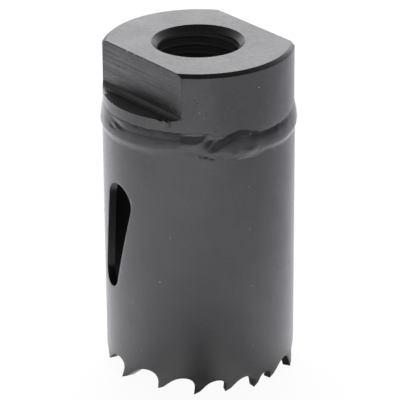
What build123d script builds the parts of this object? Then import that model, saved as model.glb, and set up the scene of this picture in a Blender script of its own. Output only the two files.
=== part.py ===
from build123d import *
import os
from math import cos, degrees, radians, sin, tan

# Hole saw: a toothed cup of rolled strip, closed by a turned end cap that screws onto an arbor,
# with a weld bead between them. Millimetres, +Z up along the saw's axis, teeth pointing down.
# The origin is on the axis, in the plane of the tooth tips. The wrench flats face +Y and -Y.

# ---------------------------------------------------------------- cup: the rolled strip
cup_radius = 13.75            # outside of the wall
wall = 1.15                   # strip thickness
cup_height = 38.4             # tooth tips to the top edge of the wall

# ---------------------------------------------------------------- teeth
# Variable pitch, so that no two neighbours cut alike: the run repeats, and is cut short where the
# strip's ends meet. The pitches are scaled to fill the circumference.
pitch_run = [6.25, 6.35, 5.5, 4.55, 4.25, 3.55, 4.75]
pitch_last_run = [6.25, 5.15, 4.6]
first_tip_azimuth = -27.3     # of the first run's first tip, from -Y towards +X
set_cycle = ["in", "out", "in", "out", "raker", "out"]
set_by = {"in": -0.12, "raker": 0.0, "out": 0.5}   # how far a tip is bent outwards
set_share = 0.85              # of the shallower gullet beside a tooth: where its bend starts
gullet_share = 0.41           # gullet depth over pitch
gullet_floor = 0.8            # where along a pitch its gullet is deepest
back_share = 0.62             # of the gullet's depth: where the tooth's straight back ends
rake_share = 0.38             # of the gullet's depth: where the straight rake face ends
floor_pull = 1.167            # of the gullet's depth: height of the floor curve's two pulls
land_length = 0.95            # short facet behind each cutting edge
land_angle = 26.0             # clearance angle of that facet
back_angle = 41.0             # of the tooth's back behind it
hook_angle = 6.0              # the rake face leans this much past upright

# ---------------------------------------------------------------- slug slots
slot_count = 2
slot_azimuth_top = -4.5       # centre of the round top end, from -Y towards +X
slot_azimuth_bottom = -15.5   # centre of the round bottom end
slot_top_z = 27.35
slot_bottom_z = 15.35
slot_top_r = 2.86
slot_bottom_r = 2.08

# ---------------------------------------------------------------- end cap
cap_step = 0.13               # the cap's side lies this far inside the wall's outside
cap_rise = 10.46              # top face above the cup's top edge
spigot_depth = 1.4            # the step that centres the cap inside the wall
spigot_clearance = 0.05
top_chamfer_wide = 0.6        # across the radius
top_chamfer_deep = 0.48
thread_minor_r = 5.75         # 1/2-20 UNF, as bored for tapping
countersink_wide = 0.91       # each end, at 45 degrees
flat_distance = 10.11         # axis to wrench flat
flat_height = 6.91            # top face down to the shelf that the cutter left
flat_cove_r = 1.0             # the cutter's corner

# ---------------------------------------------------------------- weld bead
groove_depth = 0.9            # of the bevel on each piece that the weld fills
bead_crown = 0.25             # the bead stands this far proud of the wall
bead_up = 1.8                 # from the joint to the bead's upper toe
bead_down = 1.95              # from the joint to its lower toe
bead_belly = 0.1              # up the bead from its lower toe: the fuller lower side,
bead_shoulder = 0.4           # and where it starts to fall away
overlap_azimuth = 78.0        # where the bead runs over its own start, from -Y towards +X
overlap_length = 11.4         # the lump there is the side of a spindle of this length along the
overlap_thick = 6.0           # joint and this thickness,
overlap_crown = 0.32          # that stands this far proud of the bead
overlap_sag = 0.25            # and is centred this far below the joint

# ---------------------------------------------------------------- what follows from these
height = cup_height + cap_rise
cup_inner = cup_radius - wall
cap_radius = cup_radius - cap_step
bead_radius = cup_radius + bead_crown
overlap_radius = bead_radius + overlap_crown
spigot_radius = cup_inner - spigot_clearance
cap_bottom = cup_height - spigot_depth
shelf_z = height - flat_height
past = 1.0                    # how far a cutter runs past the metal
slot_run = 3.0                # how far inside the wall the slot's cutter starts
tip_stock = 0.4               # blank left below the tips, for the gullets to cut away


def azimuth(angle):
    """A rotation about the axis that takes -Y round to the given azimuth."""
    return Rot(0, 0, angle)


def sector(outline, start, end):
    """Turn an outline, drawn as (radius, z), about the axis between two azimuths."""
    face = make_face(Plane.XZ * Polyline(*outline, close=True))
    return azimuth(start - 90) * revolve(face, Axis.Z, end - start)


def turned(*outline):
    """A full turn of a closed outline of (radius, z) points."""
    return revolve(make_face(Plane.XZ * Polyline(*outline, close=True)), Axis.Z)


def tooth_layout():
    """Each tooth: azimuth of its tip, pitch to the next tip, its bend's height and lean."""
    ratios = pitch_run * 2 + pitch_last_run
    around = radians(360) * cup_radius
    layout = []
    angle = first_tip_azimuth
    for number, ratio in enumerate(ratios):
        bend = set_share * gullet_share * min(ratio, ratios[number - 1]) * around / sum(ratios)
        lean = set_by[set_cycle[number % len(set_cycle)]] / bend
        pitch = ratio / sum(ratios) * around
        layout.append((angle, pitch, bend, lean))
        angle += degrees(pitch / cup_radius)
    return layout


def gullet_outline(pitch, lean, radius):
    """The gap between two tips, unrolled from x = 0 to x = pitch, as it lies at one radius.

    The land behind a bent tip is tilted with it, so it lies lower towards the axis.
    """
    depth = gullet_share * pitch
    tilt = max(lean, 0) * (radius - cup_radius)
    land = (land_length * cos(radians(land_angle)), land_length * sin(radians(land_angle)))
    back_top = back_share * depth
    back_end = (land[0] + (back_top - land[1]) / tan(radians(back_angle)), back_top)
    pull = floor_pull * depth
    back_pull = (back_end[0] + (pull - back_top) / tan(radians(back_angle)), pull)
    hook = tan(radians(hook_angle))
    rake_top = rake_share * depth

    def at(x, y):
        return (radius * tan((x - pitch / 2) / cup_radius), y)

    start = at(-past / tan(radians(land_angle)), tilt - past)
    finish = at(pitch - 2 * past * hook, -2 * past)
    land_end = at(land[0], land[1] + tilt)
    rake_end = at(pitch + rake_top * hook, rake_top)
    edges = [
        Line(start, land_end),
        Line(land_end, at(*back_end)),
        Bezier(at(*back_end), at(*back_pull), at(pitch + pull * hook, pull), rake_end),
        Line(rake_end, finish),
        Line(finish, start),
    ]
    return make_face(edges)


def radial_plane(angle, radius):
    """A plane across the radius at an azimuth: x runs round the cup, y runs up."""
    turn = radians(angle)
    outward = Vector(sin(turn), -cos(turn), 0)
    return Plane(outward * radius, x_dir=(cos(turn), sin(turn), 0), z_dir=outward)


def gullet_cutter(tip, pitch, lean):
    """The gullet behind one tip, narrowing towards the axis so that its walls are radial."""
    middle = tip + degrees(pitch / cup_radius) / 2
    faces = []
    for radius in (cup_radius + past, cup_inner - past):
        faces.append(radial_plane(middle, radius) * gullet_outline(pitch, lean, radius))
    return loft(faces, ruled=True)


def tip_band(span, bend, lean, spread):
    """The wall below the bend between two azimuths, leaning outwards and thicker by spread."""
    bottom = -tip_stock - spread
    low = lean * (bend - bottom)
    outline = [
        (cup_inner - spread, bend),
        (cup_radius + spread, bend),
        (cup_radius + spread + low, bottom),
        (cup_inner - spread + low, bottom),
    ]
    return sector(outline, *span)


def slot_cutter(angle):
    """A slanted slot with round ends, wider at the top, cut square through the wall."""
    across = radians(slot_azimuth_top - slot_azimuth_bottom) * cup_radius / 2
    top = Pos(across, slot_top_z) * CenterArc((0, 0), slot_top_r, 0, 360)
    bottom = Pos(-across, slot_bottom_z) * CenterArc((0, 0), slot_bottom_r, 0, 360)
    outline = make_hull([top, bottom])
    return extrude(radial_plane(angle, cup_inner - slot_run) * outline, slot_run + wall + past)


def make_cup():
    """The rolled strip: gullets first, then each bent tip in place of the straight one."""
    layout = tooth_layout()
    gullets = [gullet_cutter(tip, pitch, lean) for tip, pitch, _, lean in layout]
    straight_tips = []
    bent_tips = []
    for number, (tip, pitch, bend, lean) in enumerate(layout):
        before = layout[number - 1][1]
        span = (
            tip - degrees(before / cup_radius) * (1 - gullet_floor),
            tip + degrees(pitch / cup_radius) * gullet_floor,
        )
        if lean:
            straight_tips.append(tip_band(span, bend, 0, past))
            bent_tips.append(tip_band(span, bend, lean, 0) - [gullets[number - 1], gullets[number]])
    cup = turned(
        (cup_inner, -tip_stock),
        (cup_radius, -tip_stock),
        (cup_radius, cup_height - groove_depth),
        (cup_radius - groove_depth, cup_height),
        (cup_inner, cup_height),
    )
    cup = cup - gullets - straight_tips + bent_tips
    middle = (slot_azimuth_top + slot_azimuth_bottom) / 2
    return cup - [slot_cutter(middle + turn * 360 / slot_count) for turn in range(slot_count)]


def flat_cutter():
    """What the milling cutter takes off one side: a flat, a shelf and the cove between them."""
    corner = flat_distance + flat_cove_r
    outside = cap_radius + past
    top = height + past
    edges = [
        Line((flat_distance, top), (flat_distance, shelf_z + flat_cove_r)),
        RadiusArc((flat_distance, shelf_z + flat_cove_r), (corner, shelf_z), -flat_cove_r),
        Line((corner, shelf_z), (outside, shelf_z)),
        Line((outside, shelf_z), (outside, top)),
        Line((outside, top), (flat_distance, top)),
    ]
    return extrude(Plane.YZ * make_face(edges), cap_radius + past, both=True)


def make_end_cap():
    bevel = groove_depth
    cap = turned(
        (0, cap_bottom),
        (spigot_radius, cap_bottom),
        (spigot_radius, cup_height),
        (cap_radius - bevel, cup_height),
        (cap_radius, cup_height + bevel),
        (cap_radius, height - top_chamfer_deep),
        (cap_radius - top_chamfer_wide, height),
        (0, height),
    )
    mouth = thread_minor_r + countersink_wide
    cap -= turned(
        (0, cap_bottom - past),
        (mouth + past, cap_bottom - past),
        (thread_minor_r, cap_bottom + countersink_wide),
        (thread_minor_r, height - countersink_wide),
        (mouth + past, height + past),
        (0, height + past),
    )
    cap -= [flat_cutter(), flat_cutter().mirror(Plane.XZ)]
    return cap


def make_weld_bead():
    """The ring in the groove, with a crown that is fuller below, and the overlap lump on it.

    The middle of a cubic curve is an eighth of its ends and three eighths of its two pulls, so
    pulls at the radius "full" bring the crown out to bead_radius.
    """
    low = cup_height - bead_down
    high = cup_height + bead_up
    full = (8 * bead_radius - cup_radius - cap_radius) / 6
    groove = [
        (cap_radius, high),
        (cap_radius, cup_height + groove_depth),
        (cap_radius - groove_depth, cup_height),
        (cup_radius - groove_depth, cup_height),
        (cup_radius, cup_height - groove_depth),
        (cup_radius, low),
    ]
    belly = low + bead_belly * (high - low)
    shoulder = low + bead_shoulder * (high - low)
    crown = Bezier((cup_radius, low), (full, belly), (full, shoulder), (cap_radius, high))
    ring = revolve(Plane.XZ * make_face([crown, *Polyline(*groove).edges()]), Axis.Z)
    half = EllipticalCenterArc((0, 0), overlap_length / 2, overlap_thick / 2, arc_size=180)
    lump = revolve(make_face([half, Line(half @ 0, half @ 1)]), Axis.X)
    place = Pos(0, cup_height - overlap_sag, overlap_radius - overlap_thick / 2)
    lump = radial_plane(overlap_azimuth, 0) * place * lump
    core = turned((0, low - overlap_thick), (cup_radius, low - overlap_thick), *reversed(groove),
                  (cap_radius, high + overlap_thick), (0, high + overlap_thick))
    return ring + (lump - core)


if __name__ == "__main__":
    os.makedirs("parts", exist_ok=True)
    parts = {"cup": make_cup(), "end_cap": make_end_cap(), "weld_bead": make_weld_bead()}
    for name, shape in parts.items():
        export_step(shape, f"parts/{name}.step")
        print(name, round(shape.volume, 1))
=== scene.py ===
# %% [markdown]
# # A hole saw, dressed for its portrait
# A hole saw is a cup of rolled strip with teeth along its lower edge, welded to a turned cap that
# screws onto an arbor. The CAD model gives every size. This lesson makes the surfaces that the eye
# sees: rounded edges, bent teeth, a cut thread, a lumpy weld and a coat of black enamel.

# %% Load the CAD frame
from math import asin, cos, degrees, exp, pi, radians, sin, tan

import bmesh
import bpy
import numpy as np
from mathutils import Matrix, Vector
from mathutils.geometry import delaunay_2d_cdt
from mathutils.noise import noise


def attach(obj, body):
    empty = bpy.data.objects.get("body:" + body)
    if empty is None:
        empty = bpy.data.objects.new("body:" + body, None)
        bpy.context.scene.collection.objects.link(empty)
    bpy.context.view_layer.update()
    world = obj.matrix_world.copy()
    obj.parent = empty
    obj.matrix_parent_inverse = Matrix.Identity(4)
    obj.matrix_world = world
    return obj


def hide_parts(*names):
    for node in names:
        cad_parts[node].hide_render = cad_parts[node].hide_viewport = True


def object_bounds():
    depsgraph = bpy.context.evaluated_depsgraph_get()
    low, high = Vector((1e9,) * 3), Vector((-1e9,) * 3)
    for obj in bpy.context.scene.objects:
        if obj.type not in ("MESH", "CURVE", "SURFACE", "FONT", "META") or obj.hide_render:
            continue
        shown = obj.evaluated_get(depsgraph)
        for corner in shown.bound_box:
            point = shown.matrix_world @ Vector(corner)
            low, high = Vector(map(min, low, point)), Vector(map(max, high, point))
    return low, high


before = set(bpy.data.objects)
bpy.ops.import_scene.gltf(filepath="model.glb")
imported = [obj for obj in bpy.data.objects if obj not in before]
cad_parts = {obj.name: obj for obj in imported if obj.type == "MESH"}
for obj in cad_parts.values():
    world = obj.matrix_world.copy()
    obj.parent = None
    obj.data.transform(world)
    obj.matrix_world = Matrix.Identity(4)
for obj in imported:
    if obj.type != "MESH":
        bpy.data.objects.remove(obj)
cad_box = [list(corner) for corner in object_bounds()]
MM = 0.001
print("CAD nodes:", sorted(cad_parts))
print("CAD box in mm:", [[round(v / MM, 2) for v in corner] for corner in cad_box])

# %% [markdown]
# ## Small helpers
# Node trees read better when a node is made, set and fed in one line. `add` does that in any tree,
# `calc` is its short form for a Math node, and `new_tree` starts a node group with named sockets.
# For meshes, `grow` puts a Geometry Nodes tree on an object, `settle` keeps what the modifiers made
# as a plain mesh, and `weld_points` closes the last gaps.

# %% Helpers for node trees
def add(tree, kind, feeds=None, **settings):
    """Add a node, set its properties and feed its inputs with values or with other sockets."""
    node = tree.nodes.new(kind)
    for name, value in settings.items():
        setattr(node, name, value)
    for socket, value in (feeds or {}).items():
        if isinstance(value, bpy.types.NodeSocket):
            tree.links.new(value, node.inputs[socket])
        else:
            node.inputs[socket].default_value = value
    return node


def calc(tree, operation, *values, clamp=False):
    """One Math node: its operands are numbers or sockets."""
    feeds = dict(enumerate(values))
    return add(tree, "ShaderNodeMath", feeds, operation=operation, use_clamp=clamp).outputs[0]


def new_tree(name, kind, inputs, outputs):
    """An empty node group with named inputs and outputs, each given as (name, type, default)."""
    tree = bpy.data.node_groups.new(name, kind)
    for direction, sockets in (("INPUT", inputs), ("OUTPUT", outputs)):
        for title, socket, default in sockets:
            made = tree.interface.new_socket(title, in_out=direction, socket_type=socket)
            if default is not None:
                made.default_value = default
    entry = tree.nodes.new("NodeGroupInput")
    leave = tree.nodes.new("NodeGroupOutput")
    return tree, entry.outputs, leave.inputs


# %% Helpers for meshes
def piece(name, points, faces):
    """A mesh object at the origin, from points in millimetres."""
    mesh = bpy.data.meshes.new(name)
    mesh.from_pydata([[c * MM for c in point] for point in points], [], faces)
    made = bpy.data.objects.new(name, mesh)
    bpy.context.scene.collection.objects.link(made)
    return made


def grow(target, tree, **values):
    """Give an object a Geometry Nodes tree, with its inputs set by their identifiers."""
    modifier = target.modifiers.new(tree.name, "NODES")
    modifier.node_group = tree
    sockets = {s.name: s.identifier for s in tree.interface.items_tree if s.in_out == "INPUT"}
    for name, value in values.items():
        modifier[sockets[name.replace("_", " ")]] = value


def settle(target):
    """Turn what the modifiers make into a plain mesh, and take the modifiers away."""
    shown = target.evaluated_get(bpy.context.evaluated_depsgraph_get())
    mesh = bpy.data.meshes.new_from_object(shown)
    target.modifiers.clear()
    target.data = mesh


def weld_points(target, distance=0.002):
    """Join points that lie together, and count the edges that are still open."""
    work = bmesh.new()
    work.from_mesh(target.data)
    bmesh.ops.remove_doubles(work, verts=work.verts, dist=distance * MM)
    bmesh.ops.dissolve_degenerate(work, edges=work.edges, dist=distance * MM / 10)
    open_edges = sum(not edge.is_manifold for edge in work.edges)
    work.to_mesh(target.data)
    work.free()
    return open_edges


# %% [markdown]
# ## Camera
# A long lens from a little above: the saw leans neither in nor out. The camera is turned by a hair
# about its own line of sight, as a hand-set tripod often is. `Track To` can't give that turn, so the
# camera's three axes are worked out and set as a matrix.

# %% Camera
look_from = Vector((274.59, -214.40, 179.707)) * MM
look_at = Vector((0.065, 0.083, 24.260)) * MM
roll = radians(-0.392)
sight = (look_at - look_from).normalized()
across = sight.cross(Vector((0, 0, 1))).normalized()
upward = across.cross(sight)
right = cos(roll) * across + sin(roll) * upward
top = cos(roll) * upward - sin(roll) * across
camera_data = bpy.data.cameras.new("camera")
camera_data.sensor_width = 36
camera_data.lens = 237.18
camera = bpy.data.objects.new("camera", camera_data)
camera.matrix_world = Matrix.Translation(look_from) @ Matrix((right, top, -sight)).transposed().to_4x4()
bpy.context.scene.collection.objects.link(camera)
bpy.context.scene.camera = camera
print("camera distance in mm:", round((look_at - look_from).length / MM, 1))

# %% [markdown]
# ## Table, room and lamps
# Black paint shows the room more than its own colour, so the room matters. The saw stands on a white
# table. Its upright sides mirror that table, so the table's colour is painted a little darker at
# both ends and brighter in front: painted shade and light, which shade the saw from side to side.
# The camera sees the table as plain white by itself, and the saw's soft shadow stays on it. From
# below, the table is clear.

# %% Table
TABLE_RADIUS = 0.3
TABLE_SIDES = 64
floor_z = cad_box[0][2]
rim = [(sin(k * 2 * pi / TABLE_SIDES) * TABLE_RADIUS, cos(k * 2 * pi / TABLE_SIDES) * TABLE_RADIUS, floor_z)
       for k in range(TABLE_SIDES)]
floor_mesh = bpy.data.meshes.new("floor")
floor_mesh.from_pydata(rim, [], [list(reversed(range(TABLE_SIDES)))])
floor = bpy.data.objects.new("floor", floor_mesh)
bpy.context.scene.collection.objects.link(floor)
print("table radius in mm:", TABLE_RADIUS / MM)


# %% How bright the table is, place by place
def ramp(tree, value, start, end, before, after):
    """A smooth run from one level before the start to another after the end."""
    feeds = {"Value": value, "From Min": start, "From Max": end, "To Min": before, "To Max": after}
    return add(tree, "ShaderNodeMapRange", feeds, interpolation_type="SMOOTHSTEP").outputs[0]


def along(tree, place, way):
    """How far a place lies in one direction."""
    return add(tree, "ShaderNodeVectorMath", {0: place, 1: way}, operation="DOT_PRODUCT").outputs["Value"]


RIGHTWARD, FRONTWARD, BACKWARD = (0.615, 0.788, 0), (0.788, -0.616, 0), (-0.788, 0.616, 0)
floor_paint = bpy.data.materials.new("white_floor")
floor_paint.use_nodes = True
tree = floor_paint.node_tree
tree.nodes.clear()
place = add(tree, "ShaderNodeTexCoord").outputs["Object"]
to_right, to_front = along(tree, place, RIGHTWARD), along(tree, place, FRONTWARD)
# Painted shade and light: the table's colour is darker to the right and at the far left, and brighter in
# front.
at_right = ramp(tree, to_right, 0.0, 0.09, 1.0, 0.58)
at_left = ramp(tree, to_right, -0.13, -0.07, 0.7, 1.0)
in_front = ramp(tree, to_front, 0.02, 0.1, 1.0, 1.22)
painted_table_light = calc(tree, "MULTIPLY", calc(tree, "MULTIPLY", at_right, at_left), in_front)
table_colour_with_painted_light = add(tree, "ShaderNodeVectorMath", {0: (0.79, 0.79, 0.81), "Scale": painted_table_light}, operation="SCALE")
matt = add(tree, "ShaderNodeBsdfDiffuse", {"Color": table_colour_with_painted_light.outputs[0]}).outputs[0]
print("table nodes so far:", len(tree.nodes))

# %% [markdown]
# A mirrored ray also meets a little glow, so that the saw's own shadow doesn't make its foot black.
# The glow is stronger in two small spots near the foot, left and right of the middle, where the
# teeth would otherwise be darker than the wall above them.

# %% What the camera and the paint see of the table
CAMERA_GLOW, MIRROR_GLOW, SPOT_GLOW = 0.95, 0.15, 0.55
# Distances are in metres from the saw's axis.
aside = calc(tree, "ABSOLUTE", to_right)
outside = ramp(tree, aside, 0.001, 0.006, 0.0, SPOT_GLOW)
within = ramp(tree, aside, 0.009, 0.013, 1.0, 0.0)
near = ramp(tree, to_front, 0.019, 0.032, 1.0, 0.0)
mirrored = calc(tree, "MULTIPLY_ADD", calc(tree, "MULTIPLY", outside, within), near, MIRROR_GLOW)
path = add(tree, "ShaderNodeLightPath").outputs
share = calc(tree, "MULTIPLY_ADD", path["Is Camera Ray"], CAMERA_GLOW,
             calc(tree, "MULTIPLY", path["Is Glossy Ray"], mirrored))
glow = add(tree, "ShaderNodeEmission", {"Color": (1, 1, 1, 1), "Strength": 1.0}).outputs[0]
mixed = add(tree, "ShaderNodeMixShader", {0: share, 1: matt, 2: glow}).outputs[0]
clear = add(tree, "ShaderNodeBsdfTransparent").outputs[0]
from_below = add(tree, "ShaderNodeNewGeometry").outputs["Backfacing"]
sheet = add(tree, "ShaderNodeMixShader", {0: from_below, 1: mixed, 2: clear}).outputs[0]
add(tree, "ShaderNodeOutputMaterial", {"Surface": sheet})
floor_mesh.materials.append(floor_paint)
print("table material:", floor_paint.name)

# %% [markdown]
# The room is dim, apart from a bright wall some way behind the saw, which its top mirrors, and a
# band of haze a little above the table's level. Straight above, and just over the table's edge, it is
# dark, and those dark places draw the weld and the shelves. To the camera it is all white paper.

# %% Room
DIM, HAZE = 0.03, 0.4
PALE_BLUE = (1, 1, 1.04)
world = bpy.data.worlds.new("studio")
bpy.context.scene.world = world
world.use_nodes = True
tree = world.node_tree
tree.nodes.clear()
toward = add(tree, "ShaderNodeTexCoord").outputs["Generated"]
height = add(tree, "ShaderNodeSeparateXYZ", {0: toward}).outputs["Z"]
wall = calc(tree, "MULTIPLY", ramp(tree, along(tree, toward, BACKWARD), 0.45, 0.9, 0.0, 1.0),
            ramp(tree, height, 0.4, 0.8, 1.0, 0.0))
haze = calc(tree, "SUBTRACT", ramp(tree, height, 0.3, 0.8, HAZE, 0.0),
            ramp(tree, height, 0.05, 0.3, HAZE, 0.0))
above = ramp(tree, height, -0.06, 0.05, 0.0, 1.0)
level = calc(tree, "MULTIPLY_ADD", calc(tree, "MAXIMUM", wall, haze), above, DIM)
room = add(tree, "ShaderNodeBackground", {"Color": (*PALE_BLUE, 1), "Strength": level}).outputs[0]
paper = add(tree, "ShaderNodeBackground", {"Color": (1, 1, 1, 1), "Strength": 1.0}).outputs[0]
camera_ray = add(tree, "ShaderNodeLightPath").outputs["Is Camera Ray"]
mixed = add(tree, "ShaderNodeMixShader", {0: camera_ray, 1: room, 2: paper}).outputs[0]
add(tree, "ShaderNodeOutputWorld", {"Surface": mixed})
print("room nodes:", len(tree.nodes))

# %% [markdown]
# Two soft boxes stand behind the saw. The low one draws thin bright lines along its upright edges.
# The high one lights the table and the paint, and isn't mirrored itself, so that it leaves no patch.

# %% Lamps
CAMERA_BEARING = 52
SAW_MIDDLE = Vector((0, 0, 0.024))


def soft_box(name, azimuth, elevation, distance, wide, tall, power):
    """A rectangular lamp that faces the saw, placed by its bearing from the camera's own."""
    bearing, level = radians(CAMERA_BEARING + azimuth), radians(elevation)
    out = Vector((sin(bearing) * cos(level), -cos(bearing) * cos(level), sin(level)))
    lamp = bpy.data.lights.new(name, "AREA")
    lamp.shape = "RECTANGLE"
    lamp.size, lamp.size_y = wide, tall
    lamp.energy = power
    lamp.color = PALE_BLUE
    made = bpy.data.objects.new(name, lamp)
    made.location = SAW_MIDDLE + out * distance
    made.rotation_euler = out.to_track_quat("Z", "Y").to_euler()
    bpy.context.scene.collection.objects.link(made)
    return made


soft_box("back_box", azimuth=180, elevation=27, distance=0.9, wide=1.1, tall=0.45, power=1.6)
ceiling = soft_box("ceiling_box", azimuth=182, elevation=52, distance=1.1, wide=0.9, tall=0.7, power=22.5)
ceiling.visible_glossy = False
bpy.context.scene.view_settings.view_transform = "Standard"
print("lamps:", [lamp.name for lamp in bpy.data.lights])

# %% [markdown]
# ## Finishes
# Everything is under one coat of black enamel. Sprayed paint has a faint orange peel, a mottled film,
# and small drifts in gloss and colour. These belong to all the paints here, so they are one shader
# group, `sprayed_skin`, and each paint sets its own amounts.

# %% The sprayed skin that the paints share
FLOAT, COLOR = "NodeSocketFloat", "NodeSocketColor"


def blend(tree, share, first, second):
    """Mix two colours."""
    mix = add(tree, "ShaderNodeMix", {0: share, 6: first, 7: second}, data_type="RGBA")
    return mix.outputs[2]


skin, given, result = new_tree(
    "sprayed_skin", "ShaderNodeTree",
    [("Paint", COLOR, (0.012, 0.012, 0.013, 1)), ("Stain", COLOR, (0.02, 0.019, 0.018, 1)),
     ("Peel Size", FLOAT, 0.45), ("Gloss", FLOAT, 0.35), ("Drift", FLOAT, 0.06),
     ("Mottle", FLOAT, 0.5)],
    [("Color", COLOR, None), ("Roughness", FLOAT, None), ("Coat", FLOAT, None), ("Height", FLOAT, None)],
)
place = add(skin, "ShaderNodeTexCoord").outputs["Object"]
in_mm = add(skin, "ShaderNodeVectorMath", {0: place, "Scale": 1 / MM}, operation="SCALE").outputs[0]
peel_scale = calc(skin, "DIVIDE", 1.0, given["Peel Size"])
peel = add(skin, "ShaderNodeTexNoise", {"Vector": in_mm, "Scale": peel_scale, "Detail": 2.0})
skin.links.new(peel.outputs[0], result["Height"])
drift = add(skin, "ShaderNodeTexNoise", {"Vector": in_mm, "Scale": 0.22, "Detail": 3.0}).outputs[0]
stain = calc(skin, "MULTIPLY", calc(skin, "SUBTRACT", drift, 0.35, clamp=True), 1.5)
skin.links.new(blend(skin, stain, given["Paint"], given["Stain"]), result["Color"])
off = calc(skin, "SUBTRACT", drift, 0.5)
rough = calc(skin, "ADD", given["Gloss"], calc(skin, "MULTIPLY", off, given["Drift"]))
skin.links.new(rough, result["Roughness"])
mottle = add(skin, "ShaderNodeTexNoise", {"Vector": in_mm, "Scale": 2.2, "Detail": 4.0, "Roughness": 0.6})
film = calc(skin, "MULTIPLY_ADD", calc(skin, "SUBTRACT", mottle.outputs[0], 0.5), given["Mottle"], 0.6)
skin.links.new(calc(skin, "MULTIPLY_ADD", off, given["Mottle"], film, clamp=True), result["Coat"])
print("shader group:", skin.name)

# %% [markdown]
# The flats were milled before the spray, and the cutter left fine scratches along them that the
# paint doesn't fill. They are a second group: noise that is stretched along the flat, and kept off
# the rest of the cap.

# %% The cutter's marks on the flats
FLAT, SHELF = 10.11, 41.95
milling, given, result = new_tree("milling_marks", "ShaderNodeTree", [], [("Height", FLOAT, None)])
place = add(milling, "ShaderNodeTexCoord").outputs["Object"]
stretch = add(milling, "ShaderNodeMapping", {"Vector": place, "Scale": (60, 60, 5200)}).outputs[0]
lines = add(milling, "ShaderNodeTexNoise", {"Vector": stretch, "Scale": 1.0, "Detail": 3.0}).outputs[0]
swells = add(milling, "ShaderNodeTexNoise", {"Vector": stretch, "Scale": 0.22, "Detail": 1.0}).outputs[0]
lines = calc(milling, "MULTIPLY_ADD", swells, 3.0, lines)
axes = add(milling, "ShaderNodeSeparateXYZ", {0: place}).outputs
far_out = calc(milling, "GREATER_THAN", calc(milling, "ABSOLUTE", axes["Y"]), (FLAT - 0.11) * MM)
over_shelf = calc(milling, "GREATER_THAN", axes["Z"], (SHELF + 0.02) * MM)
on_flat = calc(milling, "MULTIPLY", far_out, over_shelf)
milling.links.new(calc(milling, "MULTIPLY", lines, on_flat), result["Height"])
print("shader group:", milling.name)

# %% [markdown]
# Five paints use the skin. The rolled wall is the smoothest, the cap shows the cutter's marks, and
# the weld is rougher. The thread and the inside of the cup got only a thin coat, with no glossy film.
# The inside's coat is also painted near black as painted shade, and the rake faces of the teeth get
# it for the same painted shade. The dark nibs use it too.

# %% Paints
MARK_DEPTH = 0.065


def enamel(name, peel_depth, marks=None, mirror=0.85, film=True, **amounts):
    """A sprayed finish: the shared skin, a bump for its peel, and any marks from the cutter."""
    paint = bpy.data.materials.new(name)
    paint.use_nodes = True
    tree = paint.node_tree
    surface = tree.nodes["Principled BSDF"]
    surface.inputs["Specular IOR Level"].default_value = mirror
    surface.inputs["Coat Roughness"].default_value = 0.3
    coat = add(tree, "ShaderNodeGroup", node_tree=skin)
    for title, value in amounts.items():
        coat.inputs[title.replace("_", " ")].default_value = value
    tree.links.new(coat.outputs["Color"], surface.inputs["Base Color"])
    tree.links.new(coat.outputs["Roughness"], surface.inputs["Roughness"])
    if film:
        tree.links.new(coat.outputs["Coat"], surface.inputs["Coat Weight"])
    bump = add(tree, "ShaderNodeBump", {"Height": coat.outputs["Height"], "Distance": peel_depth * MM})
    if marks is not None:
        cuts = add(tree, "ShaderNodeGroup", node_tree=marks)
        bump = add(tree, "ShaderNodeBump", {"Height": cuts.outputs["Height"], "Distance": MARK_DEPTH * MM,
                                            "Normal": bump.outputs[0]})
    tree.links.new(bump.outputs[0], surface.inputs["Normal"])
    return paint


def grey(value):
    """A plain grey, as a colour."""
    return value, value, value, 1


wall_paint = enamel("enamel_wall", peel_depth=0.007, Peel_Size=0.35)
cap_paint = enamel("enamel_cap", peel_depth=0.018, marks=milling, Gloss=0.38, Drift=0.1, Peel_Size=0.3,
                   Mottle=0.9)
weld_paint = enamel("enamel_weld", peel_depth=0.02, Gloss=0.33, Peel_Size=0.7)
thread_paint = enamel("thread_coat", peel_depth=0.01, mirror=0.5, film=False, Gloss=0.6, Paint=grey(0.07),
                      Stain=grey(0.03))
# Near black: painted shade for the inside of the cup and the rake faces, and the colour of the dark nibs.
dark_coat_and_painted_shade = enamel("dark_coat_painted_shade", peel_depth=0.01, mirror=0.45, film=False, Gloss=0.55,
                      Paint=grey(0.006))
print("paints:", [m.name for m in (wall_paint, cap_paint, weld_paint, thread_paint, dark_coat_and_painted_shade)])

# %% [markdown]
# ## The cup, first as a flat strip
# The real cup starts as flat strip: the teeth are milled along one edge, their tips are bent, the
# slots are punched, and then the strip is rolled up and its ends are joined. A tube cut with
# booleans would give the same outline, but with edges too ragged to round. So we do what the maker
# does, because edges are easy to round while the strip is flat. The outline repeats past both ends,
# so that the rounding meets itself when the strip closes.

# %% Sizes of the strip
RADIUS, WALL, TOP = 13.75, 1.15, 38.4
ROUND = 2 * pi * RADIUS
RATIOS = [6.25, 6.35, 5.5, 4.55, 4.25, 3.55, 4.75] * 2 + [6.25, 5.15, 4.6]
FIRST_TIP = -27.3
pitches = [ratio / sum(RATIOS) * ROUND for ratio in RATIOS]
tips = [sum(pitches[:k]) for k in range(len(pitches))]
print(len(tips), "teeth, pitch", round(min(pitches), 2), "to", round(max(pitches), 2), "mm")

# %% [markdown]
# Between two tips lie a short land, a straight back, a round floor and the rake face of the next
# tooth. The land and the angles are the same for every tooth. Where the back and the rake face end is
# a share of the gullet's depth, and that is a share of the pitch, so a wide tooth has a deep gullet.

# %% One gullet after another
GULLET_DEPTH = 0.41
LAND, LAND_ANGLE = 0.95, radians(26)
BACK_END, BACK_ANGLE = 0.62, radians(41)
RAKE_END, HOOK_ANGLE = 0.38, radians(6)
FLOOR_POINTS = 19


def bezier(points, share):
    """A point of a cubic Bezier curve."""
    weights = ((1 - share) ** 3, 3 * share * (1 - share) ** 2, 3 * share**2 * (1 - share), share**3)
    return tuple(sum(w * p[axis] for w, p in zip(weights, points)) for axis in (0, 1))


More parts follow.
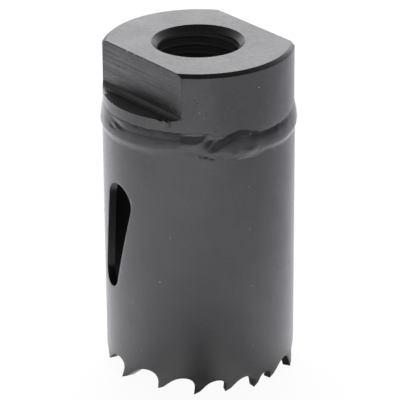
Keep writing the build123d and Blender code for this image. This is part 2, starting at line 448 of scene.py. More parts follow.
def gullet(tip, pitch):
    """Points from one tip up to just before the next: land, back, round floor and rake face."""
    depth = GULLET_DEPTH * pitch
    land = (LAND * cos(LAND_ANGLE), LAND * sin(LAND_ANGLE))
    slope, hook = 1 / tan(BACK_ANGLE), tan(HOOK_ANGLE)
    back = (land[0] + (BACK_END * depth - land[1]) * slope, BACK_END * depth)
    rake = (pitch + RAKE_END * depth * hook, RAKE_END * depth)
    pull = depth * 7 / 6
    curve = [back, (back[0] + (pull - back[1]) * slope, pull), (pitch + pull * hook, pull), rake]
    points = [(0.0, 0.0), (land[0] / 2, land[1] / 2), land]
    points += [((land[0] + back[0]) / 2, (land[1] + back[1]) / 2)]
    points += [bezier(curve, k / (FLOOR_POINTS - 1)) for k in range(FLOOR_POINTS)]
    points += [(pitch + RAKE_END / 2 * depth * hook, RAKE_END / 2 * depth)]
    return [(tip + x, z) for x, z in points]


edge_line = [point for tip, pitch in zip(tips, pitches) for point in gullet(tip, pitch)]
print("points along the teeth:", len(edge_line))

# %% [markdown]
# The seam can't be at a tip, which would be torn by it, so it is put in the floor of a gullet at the
# back of the saw.

# %% The toothed edge, from seam to seam
SEAM_GULLET, SEAM_POINT = 13, 14
BEYOND = 4
STEPS = len(edge_line)
seam_at = SEAM_GULLET * STEPS // len(tips) + SEAM_POINT
seam_x = edge_line[seam_at][0]
SEAM = FIRST_TIP + degrees(seam_x / RADIUS)
lower = []
for k in range(seam_at - BEYOND, seam_at + STEPS + BEYOND + 1):
    turns, index = divmod(k, STEPS)
    lower.append((edge_line[index][0] + turns * ROUND - seam_x, edge_line[index][1]))
print("seam at azimuth", round(SEAM, 1), "strip outline points:", len(lower))

# %% [markdown]
# The two slots let you push out the wooden plug that stays in the cup. Each is the hull of a large
# circle at the top and a smaller one lower down and to one side.

# %% Slots
SLOT_AZIMUTHS = (-10.0, 170.0)
SLOT_SLANT = 11.0
SLOT_HIGH, HIGH_RADIUS, HIGH_STEPS = 27.35, 2.86, 30
SLOT_LOW, LOW_RADIUS, LOW_STEPS = 15.35, 2.08, 22
SIDE_STEPS = 14


def arc(centre, radius, start, sweep, steps):
    """Points along part of a circle, with both its ends."""
    turns = [start + sweep * k / steps for k in range(steps + 1)]
    return [(centre.x + radius * cos(turn), centre.y + radius * sin(turn)) for turn in turns]


def between(here, there):
    """Points on the straight line between two others, without its ends."""
    return [(here[0] + (there[0] - here[0]) * j / SIDE_STEPS, here[1] + (there[1] - here[1]) * j / SIDE_STEPS)
            for j in range(1, SIDE_STEPS)]


def slot_middle(azimuth):
    """How far along the strip the middle of a slot lies."""
    return radians(azimuth - SEAM) * RADIUS % ROUND


def slot_outline(azimuth):
    """A slanted slot with round ends, wider at the top."""
    middle, lean = slot_middle(azimuth), radians(SLOT_SLANT) * RADIUS / 2
    high, low = Vector((middle + lean, SLOT_HIGH)), Vector((middle - lean, SLOT_LOW))
    gap = high - low
    tilt = asin((HIGH_RADIUS - LOW_RADIUS) / gap.length)
    heading = np.arctan2(gap.y, gap.x)
    over = arc(high, HIGH_RADIUS, heading - pi / 2 - tilt, pi + 2 * tilt, HIGH_STEPS)
    under = arc(low, LOW_RADIUS, heading + pi / 2 + tilt, pi - 2 * tilt, LOW_STEPS)
    return over + between(over[-1], under[0]) + under + between(under[-1], over[0])


slots = [slot_outline(azimuth) for azimuth in SLOT_AZIMUTHS]
print("slots, points each:", [len(loop) for loop in slots])

# %% [markdown]
# ## Fill the strip
# A flat face with hundreds of corners bends badly when it is rolled. So the strip is filled with
# small, even triangles: loose points are scattered inside the outline, a little off a regular grid,
# and a Delaunay triangulation joins them to the outline and to the slots.

# %% Points inside the outline
GROOVE = 0.9
FRONT_TOP = TOP - GROOVE
COLUMNS, ROWS = 132, 60
FIRST_ROW, ROW_STEP, WANDER = 0.5, 0.64, 0.1
CLEARANCE, TOP_CLEARANCE = 0.33, 0.3


def inside(points, loop):
    """Which points lie in a closed loop."""
    points, loop = np.array(points), np.array(loop)
    ahead = np.roll(loop, -1, axis=0)
    result = np.zeros(len(points), bool)
    for (x1, z1), (x2, z2) in zip(loop, ahead):
        if z1 == z2:
            continue
        crosses = (z1 > points[:, 1]) != (z2 > points[:, 1])
        result ^= crosses & (points[:, 0] < x1 + (points[:, 1] - z1) * (x2 - x1) / (z2 - z1))
    return result


def in_metal(points):
    """Which points lie in the outline and in neither slot."""
    return inside(points, border) & ~inside(points, slots[0]) & ~inside(points, slots[1])


column = ROUND / COLUMNS
ends = [lower[-1][0]] + [k * column for k in range(COLUMNS, -1, -1)] + [lower[0][0]]
border = lower + [(x, FRONT_TOP) for x in ends]
jitter = np.random.default_rng(7).uniform(-WANDER, WANDER, (COLUMNS, ROWS, 2))
loose = []
for k in range(-1, COLUMNS + 2):
    for row in range(ROWS):
        dx, dz = jitter[k % COLUMNS, row] if k not in (0, COLUMNS) else (0, jitter[0, row, 1])
        loose.append((k * column + dx, FIRST_ROW + row * ROW_STEP + dz))
loose = [point for point in loose if point[1] < FRONT_TOP - TOP_CLEARANCE]
outlines = np.array([point for loop in [border] + slots for point in loop])
loose = [point for point in loose if np.min(np.hypot(*(outlines - point).T)) > CLEARANCE]
loose = [point for point, kept in zip(loose, in_metal(loose)) if kept]
print("points inside the outline:", len(loose))

# %% Join them into triangles
corners, limits = [], []
for loop in [border] + slots:
    start = len(corners)
    corners += loop
    limits += [(start + k, start + (k + 1) % len(loop)) for k in range(len(loop))]
slot_points = set(range(len(border), len(corners)))
for seam_line in (0.0, ROUND):
    chain = sorted((p[1], n) for n, p in enumerate(corners + loose) if abs(p[0] - seam_line) < 1e-6)
    limits += [(a[1], b[1]) for a, b in zip(chain, chain[1:])]
flat_points, _, triangles, _, _, _ = delaunay_2d_cdt(
    [Vector(p) for p in corners + loose], limits, [], 0, 1e-7)
middles = [tuple(sum((flat_points[n] for n in tri), Vector((0, 0))) / 3) for tri in triangles]
triangles = [tri for tri, kept in zip(triangles, in_metal(middles)) if kept]
print("flat strip:", len(flat_points), "points,", len(triangles), "triangles")

# %% [markdown]
# ## Thickness and rounded edges
# Two copies of the filled outline, joined along their rims, make the strip solid. Its top slants
# down to the outside, because the weld fills a groove there. A rim edge carries a bevel weight, so
# that one modifier rounds the punched slots well and the ground teeth only slightly.

# %% Give the strip its thickness, and mark the edges to be rounded
SLOT_ROUNDING, TOOTH_ROUNDING = 1.0, 0.28


def at_top(z):
    """Whether a height is that of the front's upper edge, which stays sharp."""
    return z >= FRONT_TOP - 0.01


work = bmesh.new()
front = [work.verts.new((p.x, 0, p.y)) for p in flat_points]
back = [work.verts.new((p.x, WALL, TOP if at_top(p.y) else p.y)) for p in flat_points]
for a, b, c in triangles:
    work.faces.new((front[a], front[b], front[c]))
    work.faces.new((back[c], back[b], back[a]))
weight = work.edges.layers.float.new("bevel_weight_edge")
number_of = {vert: n for n, vert in enumerate(front)}
rims = [edge for edge in work.edges if len(edge.link_faces) == 1 and edge.verts[0].co.y == 0]
for edge in rims:
    a, b = next((l.vert, l.link_loop_next.vert) for l in edge.link_faces[0].loops if l.edge == edge)
    i, j = number_of[a], number_of[b]
    work.faces.new((b, a, back[i], back[j]))
    if not (at_top(a.co.z) and at_top(b.co.z)):
        amount = SLOT_ROUNDING if i in slot_points else TOOTH_ROUNDING
        edge[weight] = work.edges.get((back[i], back[j]))[weight] = amount
strip_mesh = bpy.data.meshes.new("toothed_cup")
work.to_mesh(strip_mesh)
work.free()
cup = bpy.data.objects.new("toothed_cup", strip_mesh)
bpy.context.scene.collection.objects.link(cup)
print("rim edges:", len(rims))


# %% Round the strip's edges
def round_edges(target, width):
    """Bevel the edges that carry a weight."""
    rounding = target.modifiers.new("rounding", "BEVEL")
    rounding.limit_method = "WEIGHT"
    rounding.width = width
    rounding.segments = 2
    settle(target)


STRIP_ROUNDING = 0.18
round_edges(cup, STRIP_ROUNDING)
print("strip with round edges:", len(cup.data.polygons), "faces")

# %% [markdown]
# The strip is trimmed where its ends will meet. A slot is punched straight through the wall, so once
# the strip is rolled its sides are parallel, not radial, and the points behind it are moved along
# the strip to give that. Each point also learns how its tooth is set: tips lean in, out or not at all,
# by turns, which cuts a groove wider than the wall and gives the cup room to turn.

# %% Trim the strip at the seam, square the slots and set the teeth
SETS = {"in": -0.12, "raker": 0.0, "out": 0.5}
CYCLE = ["in", "out", "in", "out", "raker", "out"]
BEND_SHARE = 0.85
BEFORE_TIP, AFTER_TIP = 0.2, 0.8
SQUARED, FADE = radians(45), radians(25)
work = bmesh.new()
work.from_mesh(cup.data)
for place, away in ((0.0, -1), (ROUND, 1)):
    bmesh.ops.bisect_plane(work, geom=work.verts[:] + work.edges[:] + work.faces[:], dist=1e-5,
                           plane_co=(place, 0, 0), plane_no=(away, 0, 0), clear_outer=True)
set_layer = work.verts.layers.float.new("tooth_set")
bend_layer = work.verts.layers.float.new("tooth_bend")
depth_layer = work.verts.layers.float.new("depth")
for vert in work.verts:
    vert[depth_layer] = vert.co.y * MM
    for centre in map(slot_middle, SLOT_AZIMUTHS):
        turn = (vert.co.x - centre) / RADIUS
        if abs(turn) < SQUARED:
            fade = min(1, (SQUARED - abs(turn)) / FADE)
            ratio = RADIUS * sin(turn) / (RADIUS - vert.co.y)
            vert.co.x += fade * RADIUS * (asin(max(-1, min(1, ratio))) - turn)
    along_strip = (vert.co.x + seam_x) % ROUND
    for n, (tip, pitch) in enumerate(zip(tips, pitches)):
        before = pitches[n - 1]
        reach = (along_strip - tip + ROUND / 2) % ROUND - ROUND / 2
        if -BEFORE_TIP * before <= reach < AFTER_TIP * pitch:
            vert[set_layer] = SETS[CYCLE[n % len(CYCLE)]] * MM
            vert[bend_layer] = BEND_SHARE * GULLET_DEPTH * min(pitch, before) * MM
for vert in work.verts:
    vert.co *= MM
work.to_mesh(cup.data)
work.free()
print("strip trimmed:", len(cup.data.polygons), "faces")

# %% [markdown]
# ## Roll the strip
# Rolling is a rule: distance along the strip becomes an angle, and depth in the strip becomes a
# smaller radius. Geometry Nodes apply that rule to every point. The same tree bends the tips: below
# its bend line, each tooth leans by its own `tooth_set`, in an easy curve. The inside and the rake
# faces get the near-black coat, as painted shade.

# %% The tree that bends the teeth and rolls the strip
GEOMETRY, MATERIAL = "NodeSocketGeometry", "NodeSocketMaterial"
RAKE_FACING = -0.6
roller, given, result = new_tree(
    "roll_strip", "GeometryNodeTree",
    [("Strip", GEOMETRY, None), ("Radius", FLOAT, 0.01), ("Seam", FLOAT, 0.0),
     ("Bend Ease", FLOAT, 0.25), ("Inside Depth", FLOAT, 0.001), ("Rake Height", FLOAT, 0.003),
     ("Finish", MATERIAL, None), ("Inside Finish", MATERIAL, None)],
    [("Cup", GEOMETRY, None)],
)
normal = add(roller, "GeometryNodeInputNormal").outputs[0]
facing = add(roller, "ShaderNodeSeparateXYZ", {0: normal}).outputs["X"]
position = add(roller, "GeometryNodeInputPosition").outputs[0]
spot = add(roller, "ShaderNodeSeparateXYZ", {0: position}).outputs
is_rake = calc(roller, "MULTIPLY", calc(roller, "LESS_THAN", facing, RAKE_FACING),
               calc(roller, "LESS_THAN", spot["Z"], given["Rake Height"]))
marked = add(roller, "GeometryNodeStoreNamedAttribute",
             {"Geometry": given["Strip"], "Name": "rake", "Value": is_rake},
             data_type="FLOAT", domain="FACE").outputs[0]


def read(tree, name):
    """A number stored on the points or faces."""
    return add(tree, "GeometryNodeInputNamedAttribute", {"Name": name}, data_type="FLOAT").outputs[0]


def finished(tree, geometry, finish):
    """The usual end of a tree: smooth shading, real geometry and a material."""
    smooth = add(tree, "GeometryNodeSetShadeSmooth", {0: geometry}).outputs[0]
    whole = add(tree, "GeometryNodeRealizeInstances", {0: smooth}).outputs[0]
    return add(tree, "GeometryNodeSetMaterial", {0: whole, "Material": finish}).outputs[0]


lean, bend = read(roller, "tooth_set"), read(roller, "tooth_bend")
below = calc(roller, "DIVIDE", calc(roller, "SUBTRACT", bend, spot["Z"]), bend)
below = calc(roller, "MAXIMUM", below, 0.0)
curve = calc(roller, "DIVIDE", calc(roller, "MULTIPLY", below, below),
             calc(roller, "ADD", below, given["Bend Ease"]))
curve = calc(roller, "MULTIPLY", curve, calc(roller, "ADD", given["Bend Ease"], 1.0))
push = calc(roller, "MULTIPLY", curve, lean)
turn = calc(roller, "ADD", calc(roller, "DIVIDE", spot["X"], given["Radius"]), given["Seam"])
reach = calc(roller, "ADD", calc(roller, "SUBTRACT", given["Radius"], spot["Y"]), push)
rolled = add(roller, "ShaderNodeCombineXYZ", {
    "X": calc(roller, "MULTIPLY", reach, calc(roller, "SINE", turn)),
    "Y": calc(roller, "MULTIPLY", calc(roller, "MULTIPLY", reach, calc(roller, "COSINE", turn)), -1.0),
    "Z": spot["Z"]}).outputs[0]
moved = add(roller, "GeometryNodeSetPosition", {"Geometry": marked, "Position": rolled}).outputs[0]
coated = finished(roller, moved, given["Finish"])
# The inside and the rake faces get the near-black coat: painted shade.
painted_shade_faces = calc(roller, "GREATER_THAN", read(roller, "depth"), given["Inside Depth"])
painted_shade_faces = calc(roller, "MAXIMUM", painted_shade_faces, read(roller, "rake"))
done = add(roller, "GeometryNodeSetMaterial", {0: coated, "Selection": painted_shade_faces,
                                               "Material": given["Inside Finish"]}).outputs[0]
roller.links.new(done, result["Cup"])
print("nodes that roll the strip:", len(roller.nodes))


# %% Roll it, and close the seam
def even_shading(target):
    """Let large faces keep flat shading, so that only the rounded edges catch the light."""
    even = target.modifiers.new("even_shading", "WEIGHTED_NORMAL")
    even.weight = 80
    settle(target)


grow(cup, roller, Radius=RADIUS * MM, Seam=radians(SEAM), Bend_Ease=0.25,
     Inside_Depth=(WALL - 0.02) * MM, Rake_Height=3 * MM, Finish=wall_paint, Inside_Finish=dark_coat_and_painted_shade)
settle(cup)
print("open edges after the seam is joined:", weld_points(cup))
even_shading(cup)
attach(cup, "root")
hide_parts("cup")

# %% [markdown]
# ## The end cap
# The cap is turned, then milled: two flats for a wrench, each ending in a shelf. One stack of rings
# gives both. Every ring has the same number of points, and on each ring the points between two
# fixed corners follow the flat while the rest follow the circle. So the corners are real edges of the
# mesh, and a Bevel can round them evenly, which a boolean's long thin faces wouldn't allow.

# %% A ring of the cap
CAP_RADIUS, CAP_TOP, CAP_BOTTOM = 13.62, 48.86, 37.0
COVE = 1.0
ON_FLAT, ON_ARC = 36, 84
AROUND = 2 * (ON_FLAT + ON_ARC)


def cap_ring(radius, flat, z, corner=None):
    """A circle of points whose front and back follow the flats, if it has any."""
    corner = corner or np.arccos(min(1, flat / radius))
    angles = []
    for side in (0, pi):
        angles += [side - corner + 2 * corner * k / ON_FLAT for k in range(ON_FLAT)]
        angles += [side + corner + (pi - 2 * corner) * k / ON_ARC for k in range(ON_ARC)]
    points = []
    for angle in angles:
        reach = min(radius, flat / max(abs(cos(angle)), 1e-9)) if flat else radius
        points.append((reach * sin(angle), -reach * cos(angle), z))
    return points


print("points on a ring:", AROUND)

# %% [markdown]
# The rings run from the spigot, which sits in the cup, up the side and over the top. The shelf's
# outer edge has a few small chips, where the cutter tore the metal, and the chamfer's lower edge
# wanders a little, as a hand-fed tool leaves it.

# %% Rings of the outside
SPIGOT, GROOVE_FOOT = 12.55, CAP_RADIUS - GROOVE
CHAMFER_WIDE, CHAMFER_DEEP = 0.6, 0.48
MOUTH = 6.66
CHIPS = {27.5: 0.1, 29.4: 0.25, 31.4: 0.05, 33.4: 0.3}
shelf_corner = np.arccos((FLAT + COVE) / CAP_RADIUS)
face_corner = np.arccos(FLAT / (CAP_RADIUS - CHAMFER_WIDE))
rings = [cap_ring(MOUTH, 0, CAP_BOTTOM, shelf_corner)]
for radius, z in ((SPIGOT, CAP_BOTTOM), (SPIGOT, TOP), (GROOVE_FOOT, TOP), (CAP_RADIUS, TOP + GROOVE),
                  (CAP_RADIUS, 40.6), (CAP_RADIUS, SHELF)):
    rings.append(cap_ring(radius, 0, z, shelf_corner))
for k, (x, y, z) in enumerate(rings[-1]):
    for azimuth, depth in CHIPS.items():
        if abs(degrees(np.arctan2(x, -y)) - azimuth) < 1:
            rings[-1][k] = (x, y, z - depth)
for k in range(9):
    rise = k * pi / 16
    rings.append(cap_ring(CAP_RADIUS, FLAT + COVE * (1 - sin(rise)), SHELF + COVE * (1 - cos(rise))))
for z in (44.5, 46.4, CAP_TOP - CHAMFER_DEEP):
    rings.append(cap_ring(CAP_RADIUS, FLAT, z))
# The chamfer's lower edge: a slow wander and a finer one.
rings[-1] = [(x, y, z + 0.05 * noise((x * 0.9, y * 0.9, 3.0)) + 0.02 * noise((x * 3, y * 3, 1.0)))
             for x, y, z in rings[-1]]
rings.append(cap_ring(CAP_RADIUS - CHAMFER_WIDE, FLAT, CAP_TOP))
print("rings of the outside:", len(rings))

# %% Rings of the bore, and the cap's mesh
THREAD = 5.75
BORE_RINGS = 134
bore_from = len(rings)
for k in range(BORE_RINGS):
    z = CAP_TOP + (CAP_BOTTOM - CAP_TOP) * k / BORE_RINGS
    radius = max(THREAD, MOUTH - (CAP_TOP - z), MOUTH - (z - CAP_BOTTOM))
    rings.append(cap_ring(radius, 0, z, face_corner + (shelf_corner - face_corner) * k / BORE_RINGS))
points = [point for ring in rings for point in ring]
faces = []
for r in range(len(rings)):
    here, there = r * AROUND, (r + 1) % len(rings) * AROUND
    faces += [(here + k, here + (k + 1) % AROUND, there + (k + 1) % AROUND, there + k) for k in range(AROUND)]
cap = piece("arbor_cap", points, faces)
bored = cap.data.attributes.new("bored", "FLOAT", "POINT")
bored.data.foreach_set("value", [float(n >= bore_from * AROUND or n < AROUND) for n in range(len(points))])
print("cap rings:", len(rings), "open edges:", weld_points(cap, 0.001))

# %% Round the cap's edges
CAP_ROUNDING = 0.09
work = bmesh.new()
work.from_mesh(cap.data)
bmesh.ops.recalc_face_normals(work, faces=work.faces)
weight = work.edges.layers.float.new("bevel_weight_edge")
bored_layer = work.verts.layers.float["bored"]
rounded = 0
for edge in work.edges:
    in_bore = all(vert[bored_layer] > 0.5 for vert in edge.verts)
    mouth = in_bore and all(abs(vert.co.z - CAP_TOP * MM) < 1e-7 for vert in edge.verts)
    if edge.is_manifold and edge.calc_face_angle() > radians(20) and (mouth or not in_bore):
        edge[weight] = 1.0
        rounded += 1
work.to_mesh(cap.data)
work.free()
round_edges(cap, CAP_ROUNDING * MM)
print("edges rounded:", rounded)

# %% [markdown]
# ## The thread
# A thread is a helix, and a helix is a rule too. The bore already has many fine rings. The tree below
# asks each point of the bore how far up its own turn of the helix it lies, and moves it out into the
# groove by that much: 60 degree flanks, a narrow flat at the root and a wider one at the crest. Below
# the countersink the groove deepens over a short run-in, so that it leaves the cone smooth.

# %% The tree that cuts the thread
cutter, given, result = new_tree(
    "cut_thread", "GeometryNodeTree",
    [("Bored Part", GEOMETRY, None), ("Pitch", FLOAT, 0.001), ("Sink Height", FLOAT, 1.0),
     ("Run In", FLOAT, 0.001), ("Minor Radius", FLOAT, 0.005),
     ("Major Radius", FLOAT, 0.006), ("Crest Flat", FLOAT, 0.25), ("Root Flat", FLOAT, 0.125),
     ("Body Finish", MATERIAL, None), ("Thread Finish", MATERIAL, None)],
    [("Threaded Part", GEOMETRY, None)],
)
position = add(cutter, "GeometryNodeInputPosition").outputs[0]
spot = add(cutter, "ShaderNodeSeparateXYZ", {0: position}).outputs
angle = calc(cutter, "DIVIDE", calc(cutter, "ARCTAN2", spot["Y"], spot["X"]), 2 * pi)
turn = calc(cutter, "SUBTRACT", calc(cutter, "DIVIDE", spot["Z"], given["Pitch"]), angle)
up_the_turn = calc(cutter, "FLOORED_MODULO", turn, 1.0)
from_root = calc(cutter, "ABSOLUTE", calc(cutter, "SUBTRACT", up_the_turn, 0.5))
flank_from = calc(cutter, "DIVIDE", given["Root Flat"], 2.0)
flank_to = calc(cutter, "SUBTRACT", 0.5, calc(cutter, "DIVIDE", given["Crest Flat"], 2.0))
depth = add(cutter, "ShaderNodeMapRange", {0: from_root, 1: flank_from, 2: flank_to,
                                           3: 1.0, 4: 0.0}).outputs[0]
under_sink = calc(cutter, "SUBTRACT", given["Sink Height"], spot["Z"])
depth = calc(cutter, "MULTIPLY", depth, calc(cutter, "DIVIDE", under_sink, given["Run In"], clamp=True))
cut = add(cutter, "ShaderNodeMapRange", {0: depth, 1: 0.0, 2: 1.0, 3: given["Minor Radius"],
                                         4: given["Major Radius"]}).outputs[0]
radius = calc(cutter, "SQRT", calc(cutter, "ADD", calc(cutter, "MULTIPLY", spot["X"], spot["X"]),
                                   calc(cutter, "MULTIPLY", spot["Y"], spot["Y"])))
swell = calc(cutter, "DIVIDE", calc(cutter, "MAXIMUM", radius, cut), radius)
threaded = add(cutter, "ShaderNodeCombineXYZ", {"X": calc(cutter, "MULTIPLY", spot["X"], swell),
                                                "Y": calc(cutter, "MULTIPLY", spot["Y"], swell),
                                                "Z": spot["Z"]}).outputs[0]
in_bore = calc(cutter, "GREATER_THAN", read(cutter, "bored"), 0.9)
moved = add(cutter, "GeometryNodeSetPosition", {"Geometry": given["Bored Part"], "Selection": in_bore,
                                                "Position": threaded}).outputs[0]
body = finished(cutter, moved, given["Body Finish"])
in_thread = calc(cutter, "MULTIPLY", in_bore, calc(cutter, "LESS_THAN", spot["Z"], given["Sink Height"]))
done = add(cutter, "GeometryNodeSetMaterial", {0: body, "Selection": in_thread,
                                               "Material": given["Thread Finish"]}).outputs[0]
cutter.links.new(done, result["Threaded Part"])
print("nodes that cut the thread:", len(cutter.nodes))

# %% Cut it
PITCH, THREAD_MAJOR = 1.27, 6.35
SINK_DEPTH = 0.88
grow(cap, cutter, Pitch=PITCH * MM, Sink_Height=(CAP_TOP - SINK_DEPTH) * MM, Run_In=0.3 * MM,
     Minor_Radius=THREAD * MM, Major_Radius=THREAD_MAJOR * MM, Crest_Flat=0.25, Root_Flat=0.125,
     Body_Finish=cap_paint, Thread_Finish=thread_paint)
settle(cap)
even_shading(cap)
print("cap:", len(cap.data.polygons), "faces, open edges:", weld_points(cap, 0.0005))
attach(cap, "root")
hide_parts("end_cap")

# %% [markdown]
# ## The weld bead
# The bead is laid by a torch as the saw turns, so its edges wander, it is fuller below, and where it
# runs over its own start it leaves a lump and a few craters. Sculpting could give it such a form, but
# not from sizes that can be read and changed. So it is built from tables of height against bearing,
# and Geometry Nodes add the fine ripple that every weld has.

# %% Where the bead's edges run
# Each row: bearing, height of the edge.
BEAD_UP = [(-180, 40.15), (-110, 40.1), (-20, 40.3), (-2, 40.3), (56, 40.3), (61, 39.86), (68, 39.86),
           (77, 40.36), (86, 39.8), (92, 39.33), (109, 39.33), (115, 39.55), (123, 39.73), (150, 40.1),
           (180, 40.15)]
BEAD_LOW = [(-180, 36.5), (-110, 36.4), (-23, 36.55), (22, 36.55), (38, 36.87), (47, 36.87), (52, 36.56),
            (61, 36.16), (67, 36.16), (73, 35.95), (83, 35.95), (90, 36.0), (94, 36.24), (100, 36.12),
            (108, 36.0), (120, 36.1), (150, 36.4), (180, 36.5)]


def smoothstep(value):
    """An easy rise from 0 at 0 to 1 at 1."""
    value = min(1, max(0, value))
    return value * value * (3 - 2 * value)


def table(rows, azimuth):
    """Read a table of (azimuth, value) with a smooth run between its rows."""
    azimuth = (azimuth + 180) % 360 - 180
    for (a, low), (b, high) in zip(rows, rows[1:]):
        if a <= azimuth <= b:
            return low + (high - low) * smoothstep((azimuth - a) / (b - a))


def upper_toe(azimuth):
    """The height of the bead's upper edge, with its wander."""
    turn = radians(azimuth)
    return table(BEAD_UP, azimuth) + 0.05 * sin(23 * turn) * sin(9 * turn + 1) + 0.03 * sin(61 * turn + 2)


def lower_toe(azimuth):
    """The height of its lower edge."""
    turn = radians(azimuth)
    return table(BEAD_LOW, azimuth) + 0.05 * sin(19 * turn + 4) * sin(7 * turn) + 0.02 * sin(53 * turn)


print("bead from", round(lower_toe(0), 2), "to", round(upper_toe(0), 2), "mm high at the front")

# %% [markdown]
# Humps with a positive amount are lumps and ridges, and the others are craters. The biggest is the
# lump where the weld runs over its start.

# %% Its lumps and craters
# Each row: bearing, how far the bead stands out.
STAND = [(-180, 0.28), (-120, 0.28), (-90, 0.24), (-50, 0.26), (-20, 0.28), (0, 0.22), (50, 0.22),
         (62, 0.18), (88, 0.2), (98, 0.28), (180, 0.28)]
# Each row: bearing, height, half length, half width, tilt, crispness, how far it stands out.
HUMPS = [(76.5, 38.1, 3.6, 2.15, 8, 3, 0.22), (66, 39.5, 1.9, 0.45, 38, 1, -0.17),
         (60.8, 38.2, 1.1, 0.55, 60, 1, -0.13), (49.5, 39.9, 1.7, 0.6, 4, 1, -0.12),
         (50, 38.9, 1.5, 0.8, 10, 1, 0.12), (58.3, 39.2, 1.0, 0.55, 40, 1, -0.18),
         (54.2, 39.5, 1.1, 0.35, 45, 1, 0.05), (62.5, 40.0, 0.9, 0.3, -15, 1, 0.05),
         (52.4, 36.75, 0.35, 0.22, 0, 1, 0.14), (55.6, 36.65, 0.45, 0.2, 25, 1, 0.14),
         (59.0, 36.4, 1.1, 0.16, -18, 1, 0.12), (73.4, 36.2, 0.5, 0.16, 15, 1, 0.12),
         (72.5, 36.9, 0.5, 0.35, 0, 1, 0.07), (82.4, 37.1, 0.8, 0.4, 10, 1, 0.07),
         (-4, 39.5, 1.4, 0.4, -8, 1, -0.12), (-9, 38.8, 0.9, 0.3, -8, 1, -0.08)]
FARTHEST_HUMP = 45


def hump(azimuth, z, at, height, long, wide, tilt, crisp, amount):
    """A round rise; its long side leans by tilt degrees, and a crisp one has steeper sides."""
    far = ((azimuth - at + 180) % 360 - 180) * pi / 180 * RADIUS
    rise = z - height
    lean = radians(tilt)
    u, v = far * cos(lean) + rise * sin(lean), rise * cos(lean) - far * sin(lean)
    return amount * exp(-((u / long) ** 2 + (v / wide) ** 2) ** crisp)


print("humps:", len(HUMPS))

# %% The bead's surface
ALONG, ACROSS = 900, 48
FULLEST, FALL_FROM = 0.32, 0.35
UNDER = 0.1


def crown(share, stand):
    """How far the section stands out, from its lower toe at 0 to its upper toe at 1."""
    fall = max(0, (share - FALL_FROM) / (1 - FALL_FROM))
    return 0.01 + stand * smoothstep(share / FULLEST) * (1 - fall**2)


def bead_section(azimuth):
    """Radius, height and share of ripple, up the outside and then back down through the metal."""
    low, high = lower_toe(azimuth), upper_toe(azimuth)
    stand = table(STAND, azimuth)
    near = [row for row in HUMPS if abs(azimuth - row[0]) < FARTHEST_HUMP]
    section = []
    for j in range(ACROSS + 1):
        share = j / ACROSS
        z = low + (high - low) * share
        up_the_groove = min(1, max(0, (z - FRONT_TOP) / (2 * GROOVE)))
        base = RADIUS + (CAP_RADIUS - RADIUS) * up_the_groove - 0.01
        lump = sum(hump(azimuth, z, *row) for row in near)
        fade = smoothstep(20 * share) * smoothstep(9 * (1 - share))
        section.append((base + crown(share, stand) + lump * fade, z, fade))
    return section + [(CAP_RADIUS - UNDER, high + UNDER, 0), (12.95, 39.2, 0), (GROOVE_FOOT, TOP, 0),
                      (RADIUS - GROOVE, TOP, 0), (13.1, 37.4, 0), (RADIUS - UNDER, low - UNDER, 0)]


points, mask = [], []
for k in range(ALONG):
    azimuth = -180 + 360 * k / ALONG
    east, south = sin(radians(azimuth)), -cos(radians(azimuth))
    for radius, z, fade in bead_section(azimuth):
        points.append((radius * east, radius * south, z))
        mask.append(fade)
rows = len(points) // ALONG
faces = []
for k in range(ALONG):
    here, there = k * rows, (k + 1) % ALONG * rows
    faces += [(here + j, there + j, there + (j + 1) % rows, here + (j + 1) % rows) for j in range(rows)]
bead = piece("weld_ring", points, faces)
fade_out = bead.data.attributes.new("ripple_share", "FLOAT", "POINT")
fade_out.data.foreach_set("value", mask)
print("bead:", len(faces), "faces")

# %% The tree that ripples the bead
rippler, given, result = new_tree(
    "weld_ripple", "GeometryNodeTree",
    [("Bead", GEOMETRY, None), ("Ripple Depth", FLOAT, 0.0001), ("Ripples Per Metre", FLOAT, 500.0),
     ("Finish", MATERIAL, None)],
    [("Rippled Bead", GEOMETRY, None)],
)
position = add(rippler, "GeometryNodeInputPosition").outputs[0]
stretch = add(rippler, "ShaderNodeVectorMath", {0: position, 1: (1, 1, 0.5)}, operation="MULTIPLY").outputs[0]
waves = add(rippler, "ShaderNodeTexNoise", {"Vector": stretch, "Scale": given["Ripples Per Metre"],
                                            "Detail": 2.0}).outputs[0]
amount = calc(rippler, "MULTIPLY", calc(rippler, "SUBTRACT", waves, 0.5), given["Ripple Depth"])
amount = calc(rippler, "MULTIPLY", amount, read(rippler, "ripple_share"))
normal = add(rippler, "GeometryNodeInputNormal").outputs[0]
shift = add(rippler, "ShaderNodeVectorMath", {0: normal, "Scale": amount}, operation="SCALE").outputs[0]
moved = add(rippler, "GeometryNodeSetPosition", {"Geometry": given["Bead"], "Offset": shift}).outputs[0]
rippler.links.new(finished(rippler, moved, given["Finish"]), result["Rippled Bead"])

grow(bead, rippler, Ripple_Depth=0.1 * MM, Ripples_Per_Metre=450.0, Finish=weld_paint)
settle(bead)
print("bead open edges:", weld_points(bead, 0.0005))
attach(bead, "root")
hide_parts("weld_bead")
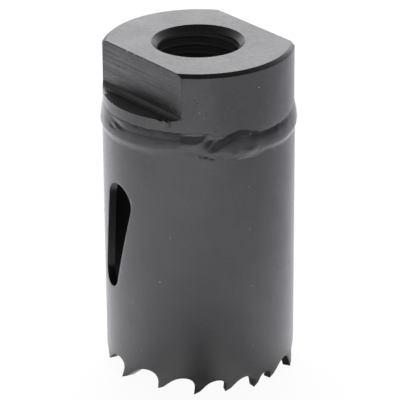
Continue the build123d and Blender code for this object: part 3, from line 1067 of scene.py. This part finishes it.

# %% [markdown]
# ## Dust and nibs in the paint
# No workshop coat is clean. A few grains of pale dust stuck to it, and small dark nibs of dried paint
# too, most of them no larger than a pin point. One tiny grain is made once, and Geometry Nodes put a
# copy at each place, each a little different in size. Those on the front are listed one by one, and
# the back gets some at random, from a fixed seed.

# %% Where the grains and nibs are
# The grains at bearings -14 to -3.5, near height 40.7, lie in a row along the weld's upper toe and draw a
# bright streak there.
# Each row: bearing and height.
GRAINS = [(52.5, 43.4), (55.1, 42.6), (89.7, 46.0), (83.0, 39.5), (84.0, 38.0), (85.4, 6.5), (85.4, 3.3),
          (14.4, 5.4), (7.8, 12.9), (84.6, 16.0), (83.1, 25.0), (82.4, 31.5), (112.4, 17.5), (27.8, 17.2),
          (34.5, 24.3), (9.1, 8.4), (33.5, 43.4), (-9.8, 41.9), (-14, 40.8), (-11, 40.85), (-8.5, 40.7),
          (-6, 40.75), (-3.5, 40.6), (-17.7, 48.7), (-8, 48.75), (3, 48.7)]
NIBS = [(49.7, 45.2), (51.4, 44.8), (50.6, 44.3), (-31.3, 45.8), (-28.7, 45.7), (-27.2, 45.9), (66, 48.3),
        (70.5, 48.3), (71.7, 48.3), (74, 48.3), (77.5, 48.3), (96, 48.0), (102, 48.2), (113, 17.6),
        (121, 16.6)]
BACK, HEIGHTS = (125, 335), (5, 47)
rng = np.random.default_rng(11)


def anywhere_behind(count):
    """Random places on the back of the saw."""
    return [(float(a), float(z)) for a, z in zip(rng.uniform(*BACK, count), rng.uniform(*HEIGHTS, count))]


GRAINS += anywhere_behind(26)
NIBS += anywhere_behind(14)
print("grains and nibs:", len(GRAINS), len(NIBS))


# %% The tree that sets a grain at each place
WELD_FROM, WELD_TO, WELD_STANDS = 36, 40, 0.25


def on_surface(azimuth, z, sunk):
    """The point at a bearing and height that lies a little way under the saw's outside."""
    radius = RADIUS if z < WELD_FROM else CAP_RADIUS + (WELD_STANDS if z < WELD_TO else 0)
    if z > SHELF + COVE and abs(cos(radians(azimuth))) > FLAT / CAP_RADIUS:
        radius = FLAT / abs(cos(radians(azimuth)))
    return ((radius - sunk) * sin(radians(azimuth)), (sunk - radius) * cos(radians(azimuth)), z)


sower, given, result = new_tree(
    "caught_dust", "GeometryNodeTree",
    [("Places", GEOMETRY, None), ("Grain Size", FLOAT, 0.0001), ("Seed", "NodeSocketInt", 3),
     ("Finish", MATERIAL, None)],
    [("Dust", GEOMETRY, None)],
)
grain = add(sower, "GeometryNodeMeshIcoSphere", {"Radius": given["Grain Size"], "Subdivisions": 2}).outputs[0]
size = add(sower, "FunctionNodeRandomValue", {2: 0.55, 3: 1.0, "Seed": given["Seed"]}, data_type="FLOAT")
spots = add(sower, "GeometryNodeInstanceOnPoints", {"Points": given["Places"], "Instance": grain,
                                                    "Scale": size.outputs[1]}).outputs[0]
whole = add(sower, "GeometryNodeRealizeInstances", {0: spots}).outputs[0]
done = add(sower, "GeometryNodeSetMaterial", {0: whole, "Material": given["Finish"]}).outputs[0]
sower.links.new(done, result["Dust"])
print("nodes that set the grains:", len(sower.nodes))

# %% Sprinkle the dust and the nibs
dust_paint = bpy.data.materials.new("pale_dust")
dust_paint.use_nodes = True
tree = dust_paint.node_tree
surface = tree.nodes["Principled BSDF"]
surface.inputs["Roughness"].default_value = 0.8
place = add(tree, "ShaderNodeTexCoord").outputs["Object"]
tint = add(tree, "ShaderNodeTexNoise", {"Vector": place, "Scale": 400.0}).outputs[0]
tree.links.new(blend(tree, tint, (0.35, 0.35, 0.34, 1), (0.75, 0.75, 0.72, 1)), surface.inputs["Base Color"])


def sprinkle(name, spots, radius, sunk, seed, finish):
    """Grains on the saw's outside, as one piece."""
    grains = piece(name, [on_surface(azimuth, z, sunk) for azimuth, z in spots], [])
    grow(grains, sower, Grain_Size=radius * MM, Seed=seed, Finish=finish)
    settle(grains)
    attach(grains, "root")
    print(name, "grains:", len(spots), "faces:", len(grains.data.polygons))


sprinkle("paint_dust", GRAINS, radius=0.1, sunk=0.02, seed=3, finish=dust_paint)
sprinkle("paint_nibs", NIBS, radius=0.13, sunk=0.08, seed=5, finish=dark_coat_and_painted_shade)
